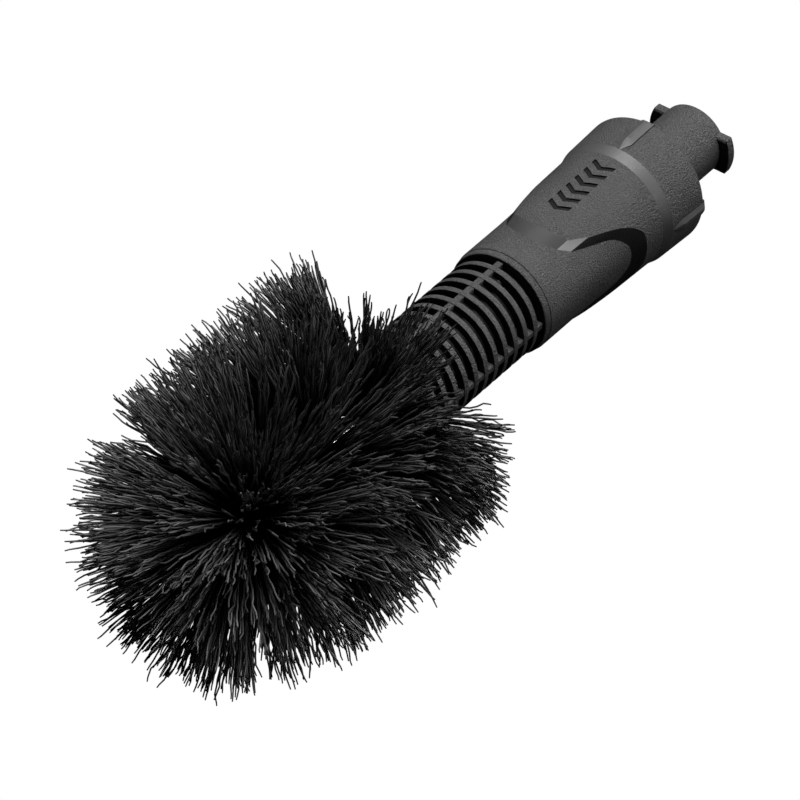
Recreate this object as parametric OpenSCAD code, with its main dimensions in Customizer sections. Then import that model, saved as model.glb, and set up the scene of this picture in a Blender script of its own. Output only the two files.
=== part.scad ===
// Wheel brush for a pressure-washer gun: twisted-wire bristle head, lantern-ring neck,
// tapered grip sleeve and a hollow bayonet stub.
// The brush's axis is X. X = 0 is the rear rim of the stub, and the bristle tip points to -X.

/* [Bayonet stub] */
// Outer radius of the stub
stub_r = 11; // [10:0.1:12]
// Length of the stub behind the collar
stub_len = 25; // [20:0.5:30]
// Radius of the water inlet bore
inlet_r = 6; // [5:0.1:6.5]
// Outer radius over the two lugs
lug_r = 14.4; // [13:0.1:16]
// Length of a lug along the axis
lug_len = 2.9; // [2:0.1:5]
// Width of a lug across the stub
lug_w = 12.2; // [8:0.1:14]

/* [Grip sleeve] */
// Length of the grip sleeve, collar included
sleeve_len = 72.4; // [70:0.1:80]
// Radius of the sleeve's front end
sleeve_front_r = 17.3; // [16.8:0.1:18]
// Radius of the sunk surface at the collar end
sleeve_base_r = 18; // [17.5:0.1:18.5]
// Radius of the raised panels at the collar end
panel_r = 19.5; // [19:0.1:19.8]
// Radius of the collar at its front
collar_r = 20.45; // [20:0.05:21]
// Radius of the collar at its rear rim
collar_rear_r = 21; // [20.5:0.05:21.5]
// Length of the collar
collar_len = 15.7; // [14:0.1:18]
// Length of the chamfer in front of the collar
chamfer_len = 3.6; // [2.5:0.1:4]
// Height of the four collar ribs above the collar
rib_h = 1.1; // [0.8:0.1:1.5]
// Width of a collar rib
rib_w = 4.2; // [3:0.1:5]

/* [Neck] */
// Outer radius of the neck rings
ring_r = 16; // [15:0.1:16.5]
// Width of a neck ring along the axis
ring_w = 2.1; // [1.8:0.1:2.4]
// Distance from one neck ring to the next
ring_pitch = 4.82; // [4.6:0.01:5]
// Number of neck rings
ring_count = 10; // [8:1:10]
// Thickness of the neck's flange
flange_w = 2.3; // [2:0.1:2.6]

/* [Brush head] */
// Radius of the brush head
brush_r = 48.5; // [44:0.5:50]
// Distance from one helical row of bristles to the next
turn_pitch = 19; // [18:0.5:19.5]
// Radius of the core wire
wire_r = 1.1; // [0.9:0.05:1.15]
// Length of one twist of the core wire
wire_twist = 9; // [8:0.5:12]

/* [Hidden] */
$fn = 96;

plastic = [0.10, 0.10, 0.105];
rubber = [0.05, 0.05, 0.05];
steel = [0.62, 0.62, 0.64];
brass = [0.72, 0.58, 0.30];
bristle = [0.03, 0.03, 0.03];

// Stations along the axis, from the stub's rim towards the tip
collar_x = -stub_len;
collar_front_x = collar_x - collar_len;
chamfer_x = collar_front_x - chamfer_len;
sleeve_x = -stub_len - sleeve_len;
flange_x = sleeve_x - flange_w;
first_ring_x = flange_x - 4.6;
last_ring_x = first_ring_x - (ring_count - 1) * ring_pitch;
nose_x = last_ring_x - 5;
root_x = nose_x - 5;
tip_x = root_x - 3.2 * turn_pitch - 3;

// Bores and walls
sleeve_bore_r = 15;
seal_bore_r = 7.3;
tube_r = 5.6;
tube_bore_r = 3.8;
seal_r = 0.83;
rim_w = 3;
flange_in_r = 14.4;
groove_r = 16.4;
clip_w = 2;
shoulder_x = -10.6;
bush_x = -24;
stub_inner_x = collar_x - 8;
clip_x = stub_inner_x - 0.1 - clip_w;
spigot_len = 10;
spigot_r = 14.9;
spigot_bore_r = 13.2;
dist_len = 14;
dist_x = flange_x + 1.4;
dist_r = 13.1;
socket_len = 9;
hole_circle_r = 10.4;
hole_r = 1;
hole_count = 9;
plate_w = 0.7;
core_r = 8;
core_flange_w = 2.4;
core_bore_r = 4.25;
core_bore_len = 24;
screw_r = 1.25;
screw_head_r = 2.3;
screw_circle_r = 10.4;
ferrule_r = 4.2;
wire_gap_r = 3.6;
wire_helix_r = wire_r + 0.06;
pin_r = 1.2;
ferrule_x = nose_x - 3;
ferrule_end_x = ferrule_x + 26;
wire_end_x = ferrule_end_x - 7;
pin_x = ferrule_end_x - 3;
panel_front_x = sleeve_x + 10;
panel_bevel = 5;
tongue_front_x = sleeve_x + 17;
tongue_len = 25;
tongue_w = 14.5;
spine_w = 2.6;
spine_r = 15.05;
ring_in_r = 13.4;

// A solid of revolution about X: each point is [radius, x]
module turned(points) {
    rotate([0, 90, 0]) rotate_extrude() polygon(points);
}

// A tube along X from x0 to x1
module tube(x0, x1, outer, inner) {
    turned([[inner, x0], [outer, x0], [outer, x1], [inner, x1]]);
}

// A plain bar along X, used to drill holes
module bar(x0, x1, r) {
    translate([x0, 0, 0]) rotate([0, 90, 0]) cylinder(h = x1 - x0, r = r);
}

// A round-section ring about X
module o_ring(x, ring, section) {
    translate([x, 0, 0]) rotate([0, 90, 0])
        rotate_extrude() translate([ring, 0]) circle(r = section, $fn = 32);
}

// Radius of the sunk sleeve surface at x
function base_r(x) = sleeve_front_r
    + (sleeve_base_r - sleeve_front_r) * max(0, x - tongue_front_x) / (chamfer_x - tongue_front_x);

// Half width of the tongue-shaped grip recess, from 0 at its open front to 1 at its round end
function tongue_half(u) = tongue_w * (1 - 0.13 * u) * pow(1 - pow(u, 3.5), 0.45);

// Raised layer that the two grip recesses are cut out of
module panel_layer() {
    turned([[sleeve_bore_r + 1, panel_front_x], [base_r(panel_front_x), panel_front_x],
        [panel_r - 1, panel_front_x + panel_bevel], [panel_r, chamfer_x],
        [sleeve_bore_r + 1, chamfer_x]]);
}

// Side recess, open towards the neck, on the +Y or -Y side
module tongue_cut(side) {
    steps = 24;
    upper = [for (i = [0:steps]) [tongue_front_x + tongue_len * i / steps, tongue_half(i / steps)]];
    lower = [for (i = [steps - 1:-1:0]) [upper[i][0], -upper[i][1]]];
    front = [[sleeve_x, -tongue_w], [sleeve_x, tongue_w]];
    rotate([90, 0, 0]) translate([0, 0, side > 0 ? -30 : 6])
        linear_extrude(24) polygon(concat(front, upper, lower));
}

// Gable-topped rib that starts in a point at the collar's front
module collar_rib(angle) {
    top = collar_rear_r + rib_h;
    rotate([angle, 0, 0]) intersection() {
        rotate([90, 0, 0]) translate([0, 0, -rib_w])
            linear_extrude(2 * rib_w) polygon([[collar_front_x, collar_r - 1.5],
                [collar_front_x + 3.6, collar_r + rib_h], [collar_x - 1, top],
                [collar_x, top - 1.4], [collar_x, collar_r - 1.5]]);
        rotate([90, 0, 90]) translate([0, 0, collar_front_x])
            linear_extrude(collar_len) polygon([[-rib_w / 2, 17], [-rib_w / 2, top - 1.1],
                [-0.5, top], [0.5, top], [rib_w / 2, top - 1.1], [rib_w / 2, 17]]);
    }
}

module grip_sleeve() {
    color(plastic) difference() {
        union() {
            turned([[sleeve_bore_r, sleeve_x], [sleeve_front_r - 0.3, sleeve_x],
                [sleeve_front_r, sleeve_x + 0.3], [sleeve_front_r, tongue_front_x],
                [sleeve_base_r, chamfer_x], [panel_r, chamfer_x], [collar_r, collar_front_x],
                [collar_rear_r, collar_x - 1], [collar_rear_r - 0.3, collar_x - 0.3],
                [collar_rear_r - 1, collar_x], [stub_r + 0.1, collar_x],
                [stub_r + 0.1, collar_x - rim_w], [sleeve_bore_r, collar_x - rim_w]]);
            difference() {
                panel_layer();
                tongue_cut(1);
                tongue_cut(-1);
            }
            for (a = [0:90:270]) collar_rib(a);
        }
        tube(clip_x - 0.1, clip_x + clip_w + 0.1, groove_r, sleeve_bore_r - 1);
    }
}

// Bayonet lug on the +Y or -Y side of the stub
module lug(side) {
    intersection() {
        tube(-lug_len, 0, lug_r, stub_r - 1);
        translate([-10, side > 0 ? 0 : -20, -lug_w / 2]) cube([12, 20, lug_w]);
    }
}

module bayonet_stub() {
    color(plastic) union() {
        turned([[inlet_r, shoulder_x], [inlet_r, -0.6], [inlet_r + 0.6, 0], [stub_r - 0.6, 0],
            [stub_r, -0.6], [stub_r, collar_x - rim_w - 0.1], [flange_in_r, collar_x - rim_w - 0.1],
            [flange_in_r, stub_inner_x], [seal_bore_r, stub_inner_x], [seal_bore_r, shoulder_x]]);
        lug(1);
        lug(-1);
    }
}

module stub_clip_ring() {
    color(steel) difference() {
        tube(clip_x, clip_x + clip_w, groove_r - 0.1, 12.5);
        translate([clip_x - 1, -2, 10]) cube([clip_w + 2, 4, 10]);
    }
}

module inlet_o_ring() {
    color(rubber) o_ring(shoulder_x - 1.4, 6.02, 1.25);
}

module inlet_bush() {
    color(plastic) tube(bush_x, shoulder_x - 2.75, seal_bore_r - 0.03, 5.2);
}

module rear_tube_seal() {
    color(rubber) o_ring(bush_x - 2.2, tube_r + 0.85, seal_r);
}

module water_tube() {
    color(plastic) tube(dist_x + dist_len - socket_len + 0.2, bush_x - 0.4, tube_r, tube_bore_r);
}

module front_tube_seal() {
    color(rubber) o_ring(dist_x + dist_len - 3, tube_r + 0.85, seal_r);
}

module distributor() {
    color(plastic) difference() {
        bar(dist_x, dist_x + dist_len, dist_r);
        bar(dist_x + dist_len - socket_len, dist_x + dist_len + 1, seal_bore_r);
        bar(dist_x - 1, dist_x + 2, seal_bore_r);
        bar(dist_x, dist_x + dist_len, 2.5);
        for (i = [0:hole_count - 1]) rotate([(i + 0.5) * 360 / hole_count, 0, 0])
            translate([0, 0, hole_circle_r]) bar(dist_x - 1, dist_x + 3, hole_r);
        for (i = [0:hole_count - 1]) rotate([(i + 0.5) * 360 / hole_count, 0, 0])
            translate([dist_x + 2, 0, 0]) cylinder(h = hole_circle_r + hole_r, r = hole_r);
        for (a = [0:120:240]) rotate([a, 0, 0])
            translate([0, 0, screw_circle_r]) bar(dist_x - 1, dist_x + 8, screw_r + 0.02);
    }
}

module flow_plate() {
    color(steel) difference() {
        bar(dist_x - 0.05 - plate_w, dist_x - 0.05, dist_r);
        for (i = [0:hole_count - 1]) rotate([(i + 0.5) * 360 / hole_count, 0, 0])
            translate([0, 0, hole_circle_r]) bar(dist_x - 3, dist_x + 1, hole_r / 2);
        for (a = [0:120:240]) rotate([a, 0, 0])
            translate([0, 0, screw_circle_r]) bar(dist_x - 3, dist_x + 1, screw_r + 0.1);
    }
}

// Lantern of rings joined by four spines, with the flange and spigot that close the sleeve
module neck_cage() {
    color(plastic) difference() {
        union() {
            for (i = [0:ring_count - 1]) {
                x = first_ring_x - i * ring_pitch;
                turned([[ring_in_r, x], [ring_r - 0.3, x], [ring_r, x + 0.3],
                    [ring_r, x + ring_w - 0.3], [ring_r - 0.3, x + ring_w], [ring_in_r, x + ring_w]]);
            }
            turned([[spigot_bore_r, flange_x], [ring_r + 0.6, flange_x], [ring_r + 0.9, flange_x + 0.3],
                [sleeve_front_r - 0.2, sleeve_x - 0.1], [spigot_r, sleeve_x - 0.1],
                [spigot_r, sleeve_x + spigot_len], [spigot_bore_r, sleeve_x + spigot_len]]);
            turned([[core_r + 0.1, nose_x], [core_r + 1.5, nose_x - 1.5], [ring_r - 1.6, nose_x],
                [ring_r - 0.2, nose_x + 1], [ring_r - 0.2, nose_x + 2.4], [core_r + 0.1, nose_x + 2.4]]);
            for (a = [0:90:270]) rotate([a, 0, 0]) intersection() {
                translate([nose_x + 1, -spine_w / 2, ring_in_r - 0.1])
                    cube([flange_x - nose_x, spine_w, 6]);
                bar(nose_x, flange_x + 1, spine_r);
            }
        }
        tube(sleeve_x + 5, sleeve_x + 7, spigot_r + 1, spigot_r - 0.7);
    }
}

module cage_snap_ring() {
    color(steel) difference() {
        tube(sleeve_x + 5.1, sleeve_x + 6.9, spigot_r, spigot_r - 0.65);
        translate([sleeve_x + 3, -2, 10]) cube([6, 4, 10]);
    }
}

module neck_core() {
    core_back = dist_x - plate_w - 0.1;
    color(plastic) difference() {
        union() {
            bar(nose_x - 2, core_back, core_r);
            bar(core_back - core_flange_w, core_back, dist_r);
        }
        bar(nose_x - 3, nose_x + core_bore_len, core_bore_r);
        for (i = [0:hole_count - 1]) rotate([(i + 0.5) * 360 / hole_count, 0, 0])
            translate([0, 0, hole_circle_r]) bar(core_back - 5, core_back + 1, hole_r);
        for (a = [0:120:240]) rotate([a, 0, 0])
            translate([0, 0, screw_circle_r]) bar(core_back - 5, core_back + 1, screw_r + 0.1);
        translate([pin_x, 0, 0]) rotate([90, 0, 0])
            cylinder(h = 3 * core_r, r = pin_r + 0.02, center = true);
    }
}

module core_screws() {
    head_x = dist_x - plate_w - core_flange_w - 0.15;
    color(steel) for (a = [0:120:240]) rotate([a, 0, 0]) translate([0, 0, screw_circle_r]) {
        bar(head_x, dist_x + 7.5, screw_r);
        difference() {
            bar(head_x - 1.6, head_x, screw_head_r);
            translate([head_x - 2, -0.4, -1.5]) cube([1.2, 0.8, 3]);
            translate([head_x - 2, -1.5, -0.4]) cube([1.2, 3, 0.8]);
        }
    }
}

module core_ferrule() {
    color(brass) difference() {
        bar(ferrule_x, ferrule_end_x, ferrule_r);
        bar(ferrule_x - 1, wire_end_x + 0.3, 2 * wire_r + 0.25);
        translate([pin_x, 0, 0]) rotate([90, 0, 0])
            cylinder(h = 3 * core_r, r = pin_r + 0.02, center = true);
    }
}

module cross_pin() {
    color(steel) translate([pin_x, 0, 0]) rotate([90, 0, 0])
        cylinder(h = 2 * core_r - 0.6, r = pin_r, center = true);
}

// Rings of points along the folded wire: down one strand, round the eye and back up the other
wire_sides = 8;
wire_steps = 96;
eye_steps = 6;
function twist(x) = 360 * (wire_end_x - x) / wire_twist;
function wire_ring(x, away, side, along) = [for (k = [0:wire_sides - 1])
    let (c = wire_r * cos(360 * k / wire_sides), s = wire_r * sin(360 * k / wire_sides),
        out = wire_helix_r + c)
    [x - along * out, away[0] * out + side[0] * s, away[1] * out + side[1] * s]];
function strand_ring(x, sign) =
    wire_ring(x, sign * [cos(twist(x)), sin(twist(x))], [-sin(twist(x)), cos(twist(x))], 0);
function eye_ring(b) =
    wire_ring(tip_x, cos(b) * [cos(twist(tip_x)), sin(twist(tip_x))],
        [-sin(twist(tip_x)), cos(twist(tip_x))], sin(b));

// One wire folded at the tip, its two legs twisted round each other
module core_wire() {
    span = wire_end_x - tip_x;
    rings = concat([for (i = [0:wire_steps]) strand_ring(wire_end_x - span * i / wire_steps, 1)],
        [for (i = [1:eye_steps - 1]) eye_ring(180 * i / eye_steps)],
        [for (i = [wire_steps:-1:0]) strand_ring(wire_end_x - span * i / wire_steps, -1)]);
    last = len(rings) - 1;
    points = [for (ring = rings) for (point = ring) point];
    walls = [for (i = [0:last - 1]) for (k = [0:wire_sides - 1])
        let (n = (k + 1) % wire_sides, a = i * wire_sides, b = a + wire_sides)
        each [[a + k, b + n, b + k], [a + k, a + n, b + n]]];
    caps = [[for (k = [wire_sides - 1:-1:0]) k],
        [for (k = [0:wire_sides - 1]) last * wire_sides + k]];
    color(steel) polyhedron(points, concat(walls, caps), convexity = 10);
}

// One helical row of bristles as a plain ring with a rounded rim
module bristle_row(x0, x1, lean) {
    rim = 5;
    color(bristle) turned(concat([[wire_gap_r, x0]],
        [for (a = [0:15:90]) [brush_r - rim + rim * sin(a), x0 + lean + rim - rim * cos(a)]],
        [for (a = [90:-15:0]) [brush_r - rim + rim * sin(a), x1 + lean - rim + rim * cos(a)]],
        [[wire_gap_r, x1]]));
}

module rear_bristles() {
    color(bristle) turned([[wire_gap_r, root_x - 4], [wire_gap_r, root_x + 1],
        [17, nose_x - 0.6], [40, nose_x + 7.5], [brush_r - 3, nose_x + 8],
        [brush_r - 2, nose_x + 3], [brush_r - 6, nose_x]]);
}

module turn_row(i) {
    bristle_row(root_x - 4.6 - i * turn_pitch + 0.6 - turn_pitch, root_x - 4.6 - i * turn_pitch, 2);
}

module bristles_turn_1() {
    turn_row(0);
}

module bristles_turn_2() {
    turn_row(1);
}

module bristles_turn_3() {
    turn_row(2);
}

// Dome of bristles that fan forward round the wire's eye
module tip_bristles() {
    back_x = root_x - 4.6 - 3 * turn_pitch;
    dome_r = brush_r - 1.5;
    pocket_x = tip_x - 4;
    color(bristle) turned(concat([[wire_gap_r, back_x], [wire_gap_r, pocket_x], [0, pocket_x]],
        [for (a = [0:7.5:90]) [dome_r * sin(a), tip_x - dome_r * cos(a)]],
        [[dome_r, back_x + 2]]));
}

grip_sleeve();
bayonet_stub();
stub_clip_ring();
inlet_o_ring();
inlet_bush();
rear_tube_seal();
water_tube();
front_tube_seal();
distributor();
flow_plate();
neck_cage();
cage_snap_ring();
neck_core();
core_screws();
core_ferrule();
cross_pin();
core_wire();
rear_bristles();
bristles_turn_1();
bristles_turn_2();
bristles_turn_3();
tip_bristles();
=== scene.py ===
"""Looks of the wheel brush: moulded grip, ringed neck, bayonet stub and twisted-wire bristle head."""

import math

import bmesh
import bpy
from mathutils import Matrix, Vector


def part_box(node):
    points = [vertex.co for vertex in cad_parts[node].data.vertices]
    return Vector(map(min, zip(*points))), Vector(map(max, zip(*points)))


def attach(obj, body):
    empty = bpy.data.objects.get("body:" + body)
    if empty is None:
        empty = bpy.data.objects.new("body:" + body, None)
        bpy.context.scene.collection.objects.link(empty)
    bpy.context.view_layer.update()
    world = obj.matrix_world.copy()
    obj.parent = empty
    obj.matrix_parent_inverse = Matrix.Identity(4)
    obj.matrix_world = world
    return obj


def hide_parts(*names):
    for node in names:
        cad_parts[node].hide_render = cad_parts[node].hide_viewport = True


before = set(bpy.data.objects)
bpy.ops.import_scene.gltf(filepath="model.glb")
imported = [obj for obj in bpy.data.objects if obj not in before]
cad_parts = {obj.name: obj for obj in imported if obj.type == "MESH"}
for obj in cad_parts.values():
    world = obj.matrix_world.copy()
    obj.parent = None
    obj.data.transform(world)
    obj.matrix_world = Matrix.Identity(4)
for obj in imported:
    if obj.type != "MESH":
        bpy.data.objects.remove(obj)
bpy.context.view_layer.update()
MM = 0.001

# Stations along the brush's axis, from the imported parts
SLEEVE_X, COLLAR_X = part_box("grip_sleeve")[0][0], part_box("grip_sleeve")[1][0]
NOSE_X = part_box("neck_cage")[0][0] + 1.5 * MM
WIRE_TIP_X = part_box("core_wire")[0][0]
BRUSH_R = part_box("bristles_turn_1")[1][1]


# ---------------------------------------------------------------- camera, floor and lights

LIGHT_TARGET = Vector((-0.13, 0, 0))
# Lights: (name, direction from the target, distance, size, power in watts)
LIGHTS = (
    ("top", (0.10, 0.08, 0.99), 1.4, (0.6, 0.6), 36.0),
    ("right_strip", (0.24, -0.78, 0.48), 1.3, (0.4, 1.0), 6.0),
    ("back_right", (0.65, -0.45, 0.60), 1.3, (0.6, 0.6), 3.5),
    ("back", (0.95, -0.03, 0.30), 1.4, (0.8, 0.5), 5.0),
)
FILL_STRENGTH = 0.010
STAGE_R = 8.0
FLOOR_Z = -0.055


def aim_matrix(place, target):
    """Matrix of an object at place that looks at target with its -Z axis."""
    turn = (target - place).to_track_quat("-Z", "Y")
    return Matrix.Translation(place) @ turn.to_matrix().to_4x4()


def make_camera():
    azimuth, elevation, roll = math.radians(-55.0), math.radians(40.3), math.radians(2.1)
    target, distance = Vector((-0.1466, 0.0005, -0.0052)), 2.15
    back = Vector((math.sin(azimuth) * math.cos(elevation),
                   -math.cos(azimuth) * math.cos(elevation), math.sin(elevation)))
    data = bpy.data.cameras.new("camera")
    data.sensor_width, data.lens = 36.0, 339.3
    data.clip_start, data.clip_end = 0.05, 30.0
    camera = bpy.data.objects.new("camera", data)
    bpy.context.scene.collection.objects.link(camera)
    camera.matrix_world = aim_matrix(target + distance * back, target) @ Matrix.Rotation(roll, 4, "Z")
    bpy.context.scene.camera = camera


def area_light(name, direction, distance, size, power):
    data = bpy.data.lights.new(name, "AREA")
    data.shape, data.energy = "ELLIPSE", power
    data.size, data.size_y = size
    light = bpy.data.objects.new(name, data)
    bpy.context.scene.collection.objects.link(light)
    place = LIGHT_TARGET + Vector(direction).normalized() * distance
    light.matrix_world = aim_matrix(place, LIGHT_TARGET)


def make_lights():
    for light in LIGHTS:
        area_light(*light)
    world = bpy.data.worlds.new("studio")
    world.use_nodes = True
    world.node_tree.nodes["Background"].inputs["Color"].default_value = (1, 1, 1, 1)
    world.node_tree.nodes["Background"].inputs["Strength"].default_value = FILL_STRENGTH
    bpy.context.scene.world = world
    bpy.context.scene.view_settings.view_transform = "Standard"


def make_stage():
    """White floor under the brush inside a white dome, lit evenly so that only the brush has shade."""
    white = bpy.data.materials.new("studio_white")
    white.use_nodes = True
    nodes = white.node_tree.nodes
    nodes.clear()
    glow = nodes.new("ShaderNodeEmission")
    glow.inputs["Color"].default_value = (1, 1, 1, 1)
    output = nodes.new("ShaderNodeOutputMaterial")
    white.node_tree.links.new(glow.outputs[0], output.inputs["Surface"])
    floor_mesh = bpy.data.meshes.new("floor")
    grid = bmesh.new()
    bmesh.ops.create_grid(grid, x_segments=1, y_segments=1, size=STAGE_R)
    bmesh.ops.translate(grid, verts=grid.verts, vec=(0, 0, FLOOR_Z))
    grid.to_mesh(floor_mesh)
    grid.free()
    dome_mesh = bpy.data.meshes.new("backdrop")
    ball = bmesh.new()
    bmesh.ops.create_uvsphere(ball, u_segments=48, v_segments=24, radius=STAGE_R)
    ball.to_mesh(dome_mesh)
    ball.free()
    for mesh in (floor_mesh, dome_mesh):
        mesh.materials.append(white)
        obj = bpy.data.objects.new(mesh.name, mesh)
        bpy.context.scene.collection.objects.link(obj)
        obj.visible_diffuse = obj.visible_glossy = obj.visible_shadow = False
        obj.visible_transmission = False


# ---------------------------------------------------------------- node helpers

def set_or_link(tree, value, socket):
    if isinstance(value, bpy.types.NodeSocket):
        tree.links.new(value, socket)
    else:
        socket.default_value = value


def new_node(tree, kind, values=(), **settings):
    """A node with its settings, and with the values linked or set on its enabled inputs in order."""
    node = tree.nodes.new(kind)
    for key, value in settings.items():
        setattr(node, key, value)
    enabled = [socket for socket in node.inputs if socket.enabled]
    for value, socket in zip(values, enabled):
        if value is not None:
            set_or_link(tree, value, socket)
    return node


def output_of(node, name):
    return next(s for s in node.outputs if s.enabled and s.name == name)


def colour_output(node):
    return next(s for s in node.outputs if s.type == "RGBA")


def calc(tree, operation, *values):
    return new_node(tree, "ShaderNodeMath", values, operation=operation).outputs[0]


def vector_calc(tree, operation, *values):
    node = new_node(tree, "ShaderNodeVectorMath", operation=operation)
    sockets = [node.inputs[0], node.inputs["Scale"]] if operation == "SCALE" else node.inputs
    for value, socket in zip(values, sockets):
        set_or_link(tree, value, socket)
    return node.outputs[0]


def vector_of(tree, x, y, z):
    return new_node(tree, "ShaderNodeCombineXYZ", (x, y, z)).outputs[0]


def clamped(tree, value):
    return calc(tree, "MINIMUM", calc(tree, "MAXIMUM", value, 0.0), 1.0)


def around_axis(tree, x, angle, radius):
    """Point at x along the axis, and at an angle and a radius from it."""
    return vector_of(tree, x, calc(tree, "MULTIPLY", calc(tree, "SINE", angle), radius),
                     calc(tree, "MULTIPLY", calc(tree, "COSINE", angle), radius))


def new_tree(name, sizes):
    """A Geometry Nodes tree with one input for each (name, kind, default) in sizes."""
    tree = bpy.data.node_groups.new(name, "GeometryNodeTree")
    tree.interface.new_socket(name="Geometry", in_out="OUTPUT", socket_type="NodeSocketGeometry")
    for key, kind, value in sizes:
        socket = tree.interface.new_socket(name=key, in_out="INPUT", socket_type=kind)
        if value is not None:
            socket.default_value = value
    return tree, tree.nodes.new("NodeGroupInput").outputs


def close_tree(tree, geometry, material):
    """Ends a tree with real geometry in one material."""
    real = new_node(tree, "GeometryNodeRealizeInstances")
    tree.links.new(geometry, real.inputs[0])
    painted = new_node(tree, "GeometryNodeSetMaterial")
    tree.links.new(real.outputs[0], painted.inputs["Geometry"])
    set_or_link(tree, material, painted.inputs["Material"])
    tree.links.new(painted.outputs[0], tree.nodes.new("NodeGroupOutput").inputs[0])


# ---------------------------------------------------------------- materials

# Noise scales of the plastic: grain, coarser grain, handling marks and uneven gloss
GRAIN_SCALE, COARSE_SCALE, MARK_SCALE, GLOSS_SCALE = 2100, 1000, 55, 420
# Bump distances in metres: the plastic's grain, and the fine bump of everything else
GRAIN_DEPTH, FINE_DEPTH = 0.0009, 0.00005


def blank_material(name):
    material = bpy.data.materials.new(name)
    material.use_nodes = True
    return material, material.node_tree, material.node_tree.nodes["Principled BSDF"]


def noise(tree, scale, detail=2.0, roughness=0.5, vector=None):
    place = vector or tree.nodes.new("ShaderNodeTexCoord").outputs["Object"]
    node = tree.nodes.new("ShaderNodeTexNoise")
    tree.links.new(place, node.inputs["Vector"])
    node.inputs["Scale"].default_value = scale
    node.inputs["Detail"].default_value = detail
    node.inputs["Roughness"].default_value = roughness
    return node.outputs["Fac"]


def spread(tree, value, low, high):
    """Maps a 0.3 to 0.7 noise value onto low to high."""
    node = tree.nodes.new("ShaderNodeMapRange")
    for socket, number in zip(node.inputs, (value, 0.3, 0.7, low, high)):
        set_or_link(tree, number, socket)
    return node.outputs["Result"]


def grey_of(tree, value, low, high, tone=(1.0, 1.0, 1.02)):
    """Colour that runs from low to high grey with a noise value."""
    node = tree.nodes.new("ShaderNodeMix")
    node.data_type = "RGBA"
    tree.links.new(spread(tree, value, 0.0, 1.0), node.inputs["Factor"])
    colours = [socket for socket in node.inputs if socket.type == "RGBA"]
    for socket, level in zip(colours, (low, high)):
        socket.default_value = (level * tone[0], level * tone[1], level * tone[2], 1)
    return colour_output(node)


def bumped(tree, shader, height, strength, distance):
    bump = tree.nodes.new("ShaderNodeBump")
    bump.inputs["Strength"].default_value = strength
    bump.inputs["Distance"].default_value = distance
    tree.links.new(height, bump.inputs["Height"])
    tree.links.new(bump.outputs["Normal"], shader.inputs["Normal"])


def moulded_plastic(name, grain, grey=0.040, rough=(0.50, 0.60), gloss=0.45):
    """Black moulded plastic: spark-eroded grain, faint handling marks and uneven gloss."""
    material, tree, shader = blank_material(name)
    fine = noise(tree, GRAIN_SCALE, 2, 0.6)
    grain_share = 0.85 * grain
    mottle = calc(tree, "ADD", calc(tree, "MULTIPLY", noise(tree, MARK_SCALE, 3), 1.0 - grain_share),
                  calc(tree, "MULTIPLY", fine, grain_share))
    swing = 0.1 + 0.6 * grain
    colour = grey_of(tree, mottle, grey * (1 - swing), grey * (1 + swing))
    tree.links.new(colour, shader.inputs["Base Color"])
    tree.links.new(spread(tree, noise(tree, GLOSS_SCALE, 2), *rough), shader.inputs["Roughness"])
    shader.inputs["Specular IOR Level"].default_value = gloss
    coarse = calc(tree, "MULTIPLY", noise(tree, COARSE_SCALE, 1), 0.2)
    bumped(tree, shader, calc(tree, "ADD", fine, coarse), grain, GRAIN_DEPTH)
    return material


def bristle_filament(name):
    """Drawn black filament: semi-gloss, a little different from one bristle to the next, with painted shade:
    near black and less glossy towards its root and at its very tip.
    """
    material, tree, shader = blank_material(name)
    tint = tree.nodes.new("ShaderNodeAttribute")
    tint.attribute_name = "tint"
    lit = tree.nodes.new("ShaderNodeAttribute")
    lit.attribute_name = "lit"
    shade = tree.nodes.new("ShaderNodeMix")
    shade.data_type = "RGBA"
    tree.links.new(lit.outputs["Fac"], shade.inputs["Factor"])
    # Painted shade: near black where the lit share is 0, the filament's own grey where it is 1; the gloss
    # follows the same share
    deep, unshaded_colour = [socket for socket in shade.inputs if socket.type == "RGBA"]
    deep.default_value = (0.005, 0.005, 0.005, 1)
    tree.links.new(grey_of(tree, tint.outputs["Fac"], 0.036, 0.125), unshaded_colour)
    tree.links.new(colour_output(shade), shader.inputs["Base Color"])
    tree.links.new(calc(tree, "MULTIPLY", lit.outputs["Fac"], 0.6), shader.inputs["Specular IOR Level"])
    tree.links.new(spread(tree, noise(tree, 700, 2), 0.30, 0.42), shader.inputs["Roughness"])
    bumped(tree, shader, noise(tree, 4200, 1), 0.10, FINE_DEPTH)
    return material


def drawn_metal(name, colour, rough):
    material, tree, shader = blank_material(name)
    streak = tree.nodes.new("ShaderNodeMapping")
    streak.inputs["Scale"].default_value = (0.15, 1.0, 1.0)
    tree.links.new(tree.nodes.new("ShaderNodeTexCoord").outputs["Object"], streak.inputs["Vector"])
    lines = noise(tree, 1800, 2, vector=streak.outputs["Vector"])
    tree.links.new(grey_of(tree, lines, 0.88, 1.0, colour), shader.inputs["Base Color"])
    tree.links.new(spread(tree, lines, rough - 0.07, rough + 0.08), shader.inputs["Roughness"])
    shader.inputs["Metallic"].default_value = 1.0
    bumped(tree, shader, lines, 0.08, FINE_DEPTH)
    return material


def soft_rubber(name):
    material, tree, shader = blank_material(name)
    tree.links.new(grey_of(tree, noise(tree, 200, 2), 0.014, 0.022), shader.inputs["Base Color"])
    tree.links.new(spread(tree, noise(tree, 900, 2), 0.60, 0.75), shader.inputs["Roughness"])
    bumped(tree, shader, noise(tree, 2600, 1), 0.08, FINE_DEPTH)
    return material


# ---------------------------------------------------------------- mesh helpers

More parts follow.
